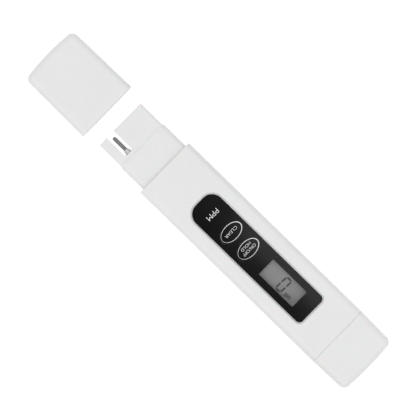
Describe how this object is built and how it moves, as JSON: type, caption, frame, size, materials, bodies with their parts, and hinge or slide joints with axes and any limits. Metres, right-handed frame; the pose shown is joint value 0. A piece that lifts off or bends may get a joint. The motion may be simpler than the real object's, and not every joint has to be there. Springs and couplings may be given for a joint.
{
  "type": "digital water tester",
  "caption": "White pen-shaped water purity tester with its probe cap off, black label panel, press keys, liquid-crystal display, slotted electrode probe and pull-off battery cap",
  "frame": {"origin": "centre of the housing's flat back, on the surface that it lies on", "axes": "+X across the tester, +Y along it from the probe cap to the battery cap, +Z out of its front face"},
  "size_m": [0.0292, 0.1885, 0.014],
  "materials": {
    "white_abs": "satin moulded white ABS",
    "black_film": "glossy black printed film",
    "white_print": "white screen-printed ink",
    "display_ink": "dark grey display segments",
    "clear_window": "clear polished window",
    "display_glass": "polished display glass",
    "display_silver": "satin reflector foil",
    "elastomer": "striped conductive elastomer",
    "board_laminate": "green solder mask on glass laminate",
    "black_epoxy": "cured black epoxy",
    "switch_plastic": "moulded black nylon",
    "tinned_metal": "tinned metal",
    "chip_body": "fired chip body with glaze",
    "screw_steel": "zinc plated steel",
    "electrode_metal": "polished titanium alloy",
    "bush_plastic": "light grey moulded plastic",
    "cell_steel": "nickel plated steel can",
    "spring_nickel": "nickel plated spring steel"
  },
  "bodies": {
    "housing": {"battery_tray": "white_abs", "board_screws": "screw_steel", "cell_bridge_strap": "spring_nickel", "chip_capacitors": "chip_body", "chip_resistors": "chip_body", "circuit_board": "board_laminate", "clear_switch_body": "switch_plastic", "controller_blob": "black_epoxy", "display_contact_strips": "elastomer", "display_frame": "white_abs", "display_front_glass": "display_glass", "display_lens": "clear_window", "display_polariser": "display_glass", "display_rear_glass": "display_glass", "display_reflector": "display_silver", "front_electrode_lead": "tinned_metal", "front_electrode_pin": "electrode_metal", "front_pin_bush": "bush_plastic", "front_shell": "white_abs", "label_overlay": "black_film", "left_button_cell": "cell_steel", "negative_contact": "spring_nickel", "positive_contact": "spring_nickel", "power_switch_body": "switch_plastic", "probe_head": "white_abs", "probe_potting": "black_epoxy", "rear_electrode_lead": "tinned_metal", "rear_electrode_pin": "electrode_metal", "rear_pin_bush": "bush_plastic", "rear_shell": "white_abs", "right_button_cell": "cell_steel", "switch_terminals": "tinned_metal", "temperature_sensor": "black_epoxy", "timing_crystal": "tinned_metal"},
    "probe_cap": {"probe_cap": "white_abs"},
    "battery_cap": {"battery_cap": "white_abs"},
    "clear_key": {"clear_key": "black_film", "clear_switch_stem": "switch_plastic"},
    "power_key": {"power_key": "black_film", "power_switch_stem": "switch_plastic"}
  },
  "joints": [
    {"name": "probe_cap_slide", "type": "slide", "parent": "housing", "child": "probe_cap", "axis": [0, 1, 0], "range_m": [-0.01, 0.0336]},
    {"name": "battery_cap_slide", "type": "slide", "parent": "housing", "child": "battery_cap", "axis": [0, 1, 0], "range_m": [0, 0.024]},
    {"name": "clear_key_press", "type": "slide", "parent": "housing", "child": "clear_key", "axis": [0, 0, -1], "range_m": [0, 0.0003], "stiffness_N_per_m": 2000, "springref_m": -0.0003},
    {"name": "power_key_press", "type": "slide", "parent": "housing", "child": "power_key", "axis": [0, 0, -1], "range_m": [0, 0.0003], "stiffness_N_per_m": 2000, "springref_m": -0.0003}
  ]
}
